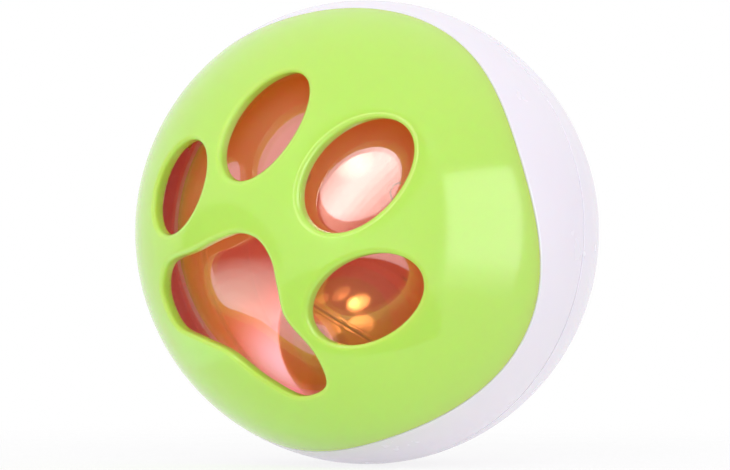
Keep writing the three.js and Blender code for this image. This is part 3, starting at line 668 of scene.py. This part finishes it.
# With distance, the painted reflection's glow fades into the painted red lamp glow.
for lit, dim, socket in (
    (linear(*PAINTED_REFLECTION_COLOUR), linear(*GLOW_COLOUR), "Emission Color"),
    ((PAINTED_REFLECTION_STRENGTH,) * 3, (GLOW_STRENGTH,) * 3, "Emission Strength"),
):
    falloff = bowl.nodes.new("ShaderNodeMapRange")
    falloff.data_type = "FLOAT_VECTOR"
    falloff.interpolation_type = "SMOOTHSTEP"
    # Sockets 7 to 10 are the vector forms of the range's limits.
    limits = (PAINTED_REFLECTION_CORE * MM,) * 3, (PAINTED_REFLECTION_REACH * MM,) * 3, lit[:3], dim[:3]
    for limit, value in zip(falloff.inputs[7:11], limits):
        limit.default_value = value
    bowl.links.new(from_painted_reflection.outputs["Value"], falloff.inputs["Vector"])
    bowl.links.new(falloff.outputs["Vector"], bowl_look.inputs[socket])
back_edge = on_ball(CHAMBER, BACK_FRONT)[0]
chamber_back = turned("chamber_back_moulding", [
    *[(back_edge * k / BACK_STEPS, BACK_FRONT) for k in range(BACK_STEPS)],
    *arc(CHAMBER, polar(CHAMBER, BACK_FRONT), polar(CHAMBER, half_gap), BACK_STEPS),
    (FLANGE, half_gap), (FLANGE, FLANGE_EDGE),
    *arc(DOME, polar(DOME, FLANGE_EDGE), polar(DOME, BACK_REAR), BACK_STEPS),
    (0, BACK_REAR),
], around=160)
middle = (BACK_FRONT + BACK_REAR) / 2
combine(chamber_back, [
    *[rod(x, z, middle, WELL_REAR, WELL_RADIUS + WELL_WALL) for x, z in post_places],
    *[rod(x, z, middle, BOARD_FRONT - GAP, STANDOFF_RADIUS) for x, z in STANDOFFS],
], "UNION")
combine(chamber_back, [
    *[rod(x, z, 0, WELL_BOTTOM, WELL_RADIUS) for x, z in post_places],
    *[rod(x, z, 0, BOARD_REAR, PILOT) for x, z in post_places],
    *[rod(x, z, BACK_REAR, BOARD_REAR, PILOT) for x, z in STANDOFFS],
    *[rod(*on_circle(*place), 0, BOARD_REAR, LAMP_RADIUS + GAP) for place in LAMPS],
], "DIFFERENCE")
polish(chamber_back, CHAMBER, DOME)
finish(chamber_back, inner_white, "shell", "inner_white", "chamber_back")

# Screws. Pan-headed self-tapping screws of plated steel with a cross recess, which hold the
# chamber, the board, the battery box and the door.
SCREW_RADIUS = 0.9
HEAD_RADIUS, HEAD_HEIGHT, HEAD_EDGE = 2, 1.4, 0.1
HEAD_CROWN = [(0, 1), (0.55, 1), (0.85, 0.86), (1, 0.5)]
CROSS_WIDTH, CROSS_DEPTH, CROSS_SHARE, CROSS_START = 0.5, 0.7, 0.6, 2.4
BOARD_SCREW_LENGTH, BOARD_SCREW_HEAD = 3.5, 1.8


def tapping_screw(node, body, x, y, z, length=SCREW_LENGTH, head=HEAD_RADIUS, outward=False):
    piece = turned(f"{node}_steel", [
        *[(head * out, -HEAD_HEIGHT * up) for out, up in HEAD_CROWN],
        (head, 0, HEAD_EDGE), (SCREW_RADIUS, 0), (SCREW_RADIUS, length - SCREW_RADIUS), (0, length),
    ], around=48)
    reach = head * CROSS_SHARE
    for half_x, half_z in ((reach, CROSS_WIDTH / 2), (CROSS_WIDTH / 2, reach)):
        combine(piece, [block(
            (-half_x, -CROSS_START, -half_z), (half_x, -HEAD_HEIGHT + CROSS_DEPTH, half_z)
        )], "DIFFERENCE")
    if outward:
        piece.data.transform(Matrix.Rotation(math.pi, 4, "X"))
    piece.data.transform(Matrix.Translation(Vector((x, y, z)) * MM))
    polish(piece)
    finish(piece, steel, body, "steel", node)


for i, (x, z) in enumerate(post_places):
    tapping_screw(f"chamber_screw_{i + 1}", "shell", x, WELL_BOTTOM - GAP, z)
for i, (x, z) in enumerate(STANDOFFS):
    tapping_screw(
        f"board_screw_{i + 1}", "shell", x, BOARD_REAR + GAP, z,
        BOARD_SCREW_LENGTH, BOARD_SCREW_HEAD, outward=True,
    )
for i, (x, z) in enumerate(ear_places):
    tapping_screw(f"box_screw_{i + 1}", "shell", x, EAR_REAR - EAR_THICKNESS - GAP, z)

# Bell. Two pressed brass halves crimped together round a steel pellet, the lower one slotted. It
# rolls loose in the chamber and lies at the bottom.
BELL, BELL_BAND, BELL_CRIMP, BELL_SHEET = 13.5, 0.55, 0.4, 0.6
BAND_EDGE, BAND_ROOT = 0.12, 0.2
BELL_OUTER = BELL - BELL_CRIMP
BELL_INNER = BELL_OUTER - BELL_SHEET
BELL_AXIS = Vector((0.478, 0.22, 0.85)).normalized()
BELL_CENTRE = Vector((0, -3, -16.225))
SLOT_REACH, SLOT_WIDTH, SLOT_END = 7.5, 1.8, 1.7

brass = moulded(
    "bell_brass", (255, 234, 160), (250, 220, 136), rough=0.15, grain_depth=0.00001, grain=900, metal=1
)
bell_place = Matrix.Translation(BELL_CENTRE * MM)
bell_place @= Vector((0, 1, 0)).rotation_difference(BELL_AXIS).to_matrix().to_4x4()
bell_start = half_gap + BELL_BAND
for half, name in ((1, "bell_upper"), (-1, "bell_lower")):
    cup = turned(f"{name}_cup", [
        (BELL, half_gap, BAND_EDGE), (BELL, bell_start, BAND_ROOT),
        *arc(BELL_OUTER, polar(BELL_OUTER, bell_start), 180, steps=32),
        *arc(BELL_INNER, 180, polar(BELL_INNER, half_gap), steps=32),
    ], closed=True, around=128)
    if half < 0:
        start = BELL_INNER / 3
        combine(cup, [
            block((-SLOT_REACH, start, -SLOT_WIDTH / 2), (SLOT_REACH, BELL, SLOT_WIDTH / 2)),
            *[rod(x, 0, start, BELL, SLOT_END) for x in (-SLOT_REACH, SLOT_REACH)],
        ], "DIFFERENCE")
    polish(cup, BELL_OUTER, BELL_INNER)
    if half < 0:
        cup.data.transform(Matrix.Rotation(math.pi, 4, "X"))
    cup.data.transform(bell_place)
    finish(cup, brass, "bell", "bell_brass", name)
dress(steel, "bell_pellet")

# Window dome. A glossy clear red moulding close behind the paw, which keeps the bell in. Its faint
# glow is painted lamp light, and its flange is held against the chamber back's at the ball's equator.
DOME_SHADE = (0.99, 0.78, 0.72, 1)

dome_red = moulded(
    "dome_red", (255, 214, 194), (252, 206, 184), rough=0.05, grain_depth=0.000002, grain=300
)
glass = dome_red.node_tree
window = glass.nodes["Principled BSDF"]
window.inputs["Transmission Weight"].default_value = 0.9
window.inputs["IOR"].default_value = 1.5
# Painted lamp light: a faint red glow in the window.
window.inputs["Emission Color"].default_value = linear(*GLOW_COLOUR)
window.inputs["Emission Strength"].default_value = 0.06
window.inputs["Coat Weight"].default_value = 1
window.inputs["Coat IOR"].default_value = 2
window.inputs["Coat Roughness"].default_value = 0.06
shade = glass.nodes.new("ShaderNodeBsdfTransparent")
shade.inputs["Color"].default_value = DOME_SHADE
rays = glass.nodes.new("ShaderNodeLightPath")
passing = glass.nodes.new("ShaderNodeMixShader")
glass.links.new(rays.outputs["Is Shadow Ray"], passing.inputs["Fac"])
glass.links.new(window.outputs[0], passing.inputs[1])
glass.links.new(shade.outputs[0], passing.inputs[2])
glass.links.new(passing.outputs[0], glass.nodes["Material Output"].inputs["Surface"])
inner_dome = turned("inner_dome_window", [
    *arc(DOME, 0, polar(DOME, -FLANGE_EDGE), steps=64),
    (FLANGE, -FLANGE_EDGE), (FLANGE, -half_gap),
    *arc(CHAMBER, polar(CHAMBER, -half_gap), 0, steps=64),
], around=160)
polish(inner_dome, DOME, CHAMBER)
finish(inner_dome, dome_red, "shell", "red_window", "inner_dome")

# Front ring. A white moulding with a wavy front edge, whose stepped lip carries the cover in front
# and snaps into the rear shell with a bead.
SEAM, SEAM_WAVE, SEAM_LOBES = 69.9, 3.4, 4
SEAM_SHOWN, SEAM_EDGE = 0.16, 0.3
PAW_LEAN = 27.5
PAW_UP = 90 - PAW_LEAN
LIP_REACH, LIP_STEP = 11, 0.5
LIP_START = SEAM - LIP_REACH
LAP = 3
PEG_INSET, PEG_RADIUS = 0.8, 1

seam_shift = math.degrees(SEAM_SHOWN / 2 / BALL)
peg_circle = LIP_INNER - PEG_INSET
peg_tip = -math.sqrt(LIP_INNER**2 - peg_circle**2)
peg_root = -math.sqrt((INNER + WALL / 3) ** 2 - peg_circle**2)
peg_places = [on_circle(PAW_UP + 360 * i / SEAM_LOBES, peg_circle) for i in range(SEAM_LOBES)]


def seam(turn):
    return SEAM + SEAM_WAVE * math.cos(math.radians(SEAM_LOBES * (turn - PAW_UP)))


def ring_profile(turn):
    edge = seam(turn) + seam_shift
    equator = polar(BALL, -half_gap)
    lip_equator = polar(LIP_OUTER, -half_gap)
    bead_front = polar(LIP_OUTER, BEAD_MIDDLE - BEAD_WIDTH)
    return [
        (*arc(BALL, edge, edge, steps=1)[0], SEAM_EDGE),
        *arc(BALL, edge + FINE / 2, equator - FINE / 2, steps=16),
        (*on_ball(BALL, -half_gap), EQUATOR_EDGE), on_ball(LIP_OUTER, -half_gap),
        *arc(LIP_OUTER, lip_equator + LIP_STEP, bead_front, steps=3),
        (LIP_OUTER + BEAD_HEIGHT, BEAD_MIDDLE - BEAD_WIDTH / 2),
        (LIP_OUTER + BEAD_HEIGHT, BEAD_MIDDLE + BEAD_WIDTH / 2),
        on_ball(LIP_OUTER, LAP),
        *arc(LIP_INNER, polar(LIP_INNER, LAP), LIP_START, steps=20),
        *arc(LIP_OUTER, LIP_START, edge, steps=8),
    ]


front_ring = turned("front_ring_moulding", ring_profile, closed=True)
combine(front_ring, [
    rod(x, z, -INNER / 2, peg_tip + GAP, PEG_RADIUS + GAP) for x, z in peg_places
], "DIFFERENCE")
polish(front_ring, BALL)
finish(front_ring, white_plastic, "shell", "white_plastic", "front_ring")

# Front cover. A glossy green moulded cap with a wavy edge and the five cut-outs of a paw, whose rims
# are rounded. Four pegs under its lobes hold it to the ring.
RIM_ROUND, RIM_STEPS = 0.9, 8
COVER_INNER_EDGE = 0.2
# Toes are given by their middle, half length, half width and lean, and the pad by points on its edge, all
# seen along the ball's axis with the paw upright.
TOES = [
    (-18.2, -2.45, 7.8, 5.35, 1), (-8.8, 12.5, 9.1, 5.8, 1.6),
    (8.35, 12.65, 9.5, 6.65, 6.3), (17.65, -3.45, 9, 5.8, 30),
]
PAD = [
    (0, -2.5), (-3.4, -3.1), (-6, -5.2), (-10, -9.4), (-14.9, -14.2), (-14.8, -19),
    (-10.9, -22.4), (-5, -21.8), (0.5, -21.2), (7, -22.5), (12.6, -22.6), (16.2, -18.8),
    (14, -14.8), (8.2, -11.3), (5.7, -7.6), (3.2, -4.2),
]

green_plastic = moulded(
    "green_plastic", (192, 236, 107), (186, 232, 97), rough=0.13, grain_depth=0.000003, grain=1200
)
cover_look = green_plastic.node_tree.nodes["Principled BSDF"]
cover_look.inputs["Subsurface Weight"].default_value = 0.7
cover_look.inputs["Subsurface Scale"].default_value = 0.005
cover_look.inputs["Subsurface Radius"].default_value = (0.5, 1, 0.22)


def toe_outline(across, up, half_length, half_width, lean, steps=96):
    turn = Matrix.Rotation(-math.radians(lean), 2)
    angles = [2 * math.pi * i / steps for i in range(steps)]
    return [
        turn @ Vector((half_width * math.cos(a), half_length * math.sin(a))) + Vector((across, up))
        for a in angles
    ]


def between(first, last, start, end, t):
    return first * ((end - t) / (end - start)) + last * ((t - start) / (end - start))


def smooth_loop(knots, steps=12):
    """A closed curve through the knots, eased by the distance between them."""
    points = [Vector(knot) for knot in knots]
    outline = []
    for i in range(len(points)):
        near = [points[(i + k) % len(points)] for k in (-1, 0, 1, 2)]
        times = [0]
        for first, last in zip(near, near[1:]):
            times.append(times[-1] + math.sqrt((last - first).length))
        for step in range(steps):
            t = times[1] + (times[2] - times[1]) * step / steps
            legs = [between(near[k], near[k + 1], times[k], times[k + 1], t) for k in range(3)]
            bends = [between(legs[k], legs[k + 1], times[k], times[k + 2], t) for k in range(2)]
            outline.append(between(*bends, times[1], times[2], t))
    return outline


def paw_cutter(outline):
    """A plug along the ball's axis that flares at the surface, so the cut-out's rim comes out round."""
    lean = Matrix.Rotation(-math.radians(PAW_LEAN), 2)
    leaning = [lean @ point for point in outline]
    count = len(leaning)
    area = sum(leaning[i - 1].cross(leaning[i]) for i in range(count))
    rings = []
    for i, point in enumerate(leaning):
        along = leaning[(i + 1) % count] - leaning[i - 1]
        outward = Vector((along.y, -along.x)).normalized() * math.copysign(1, area)
        ring = [Vector((point.x, -DOME / 2, point.y))]
        for k in range(RIM_STEPS + 1):
            angle = math.pi / 2 * k / RIM_STEPS
            moved = point + outward * RIM_ROUND * (1 - math.cos(angle))
            radius = BALL - RIM_ROUND * (1 - math.sin(angle))
            ring.append(Vector((moved.x, -math.sqrt(radius**2 - moved.length_squared), moved.y)))
        ring.append(Vector((moved.x, -BALL - RIM_ROUND, moved.y)))
        rings.append(ring)
    return wrapped("cutter", rings)


def cover_profile(turn):
    edge = seam(turn) - seam_shift
    return [
        *arc(BALL, 0, edge - FINE / 2, steps=72),
        (*arc(BALL, edge, edge, steps=1)[0], SEAM_EDGE),
        (*arc(INNER, edge, edge, steps=1)[0], COVER_INNER_EDGE),
        *arc(INNER, edge - FINE / 2, 0, steps=72),
    ]


front_cover = turned("front_cover_moulding", cover_profile)
combine(front_cover, [rod(x, z, peg_root, peg_tip, PEG_RADIUS) for x, z in peg_places], "UNION")
outlines = [toe_outline(*toe) for toe in TOES] + [smooth_loop(PAD)]
combine(front_cover, [paw_cutter(outline) for outline in outlines], "DIFFERENCE")
polish(front_cover, BALL, INNER)
finish(front_cover, green_plastic, "shell", "green_plastic", "front_cover")

# Battery door. A curved white plate that seats in the rear shell's recess, with a plug in the
# opening and a boss that keeps its screw.
battery_door = rounded_prism(DOOR_LEFT, DOOR_RIGHT, DOOR_HALF, DOOR_CORNER, DOOR_FRONT, BALL + GAP)
battery_door.name = "battery_door_moulding"
combine(battery_door, [globe(BALL)], "INTERSECT")
combine(battery_door, [globe(DOOR_SEAT + half_gap)], "DIFFERENCE")
plug = rounded_prism(
    -OPENING_X + GAP, OPENING_X - GAP, OPENING_Z - GAP, OPENING_CORNER, OPENING_FRONT, BALL + GAP
)
combine(plug, [globe(DOOR_SEAT + GAP)], "INTERSECT")
combine(plug, [globe(INNER)], "DIFFERENCE")
boss = rod(DOOR_SCREW_X, 0, DOOR_BOSS_FRONT, BALL, DOOR_BOSS)
combine(boss, [globe(BALL - half_gap)], "INTERSECT")
combine(battery_door, [plug, boss], "UNION")
combine(battery_door, [
    rod(DOOR_SCREW_X, 0, 0, BALL, PILOT),
    rod(DOOR_SCREW_X, 0, DOOR_SCREW_SEAT, BALL, HEAD_RADIUS + GAP),
], "DIFFERENCE")
polish(battery_door, BALL)
finish(battery_door, white_plastic, "door", "white_plastic", "battery_door")
tapping_screw(
    "door_screw", "screw", DOOR_SCREW_X, DOOR_SCREW_SEAT + GAP, 0, DOOR_SCREW_LENGTH, outward=True
)
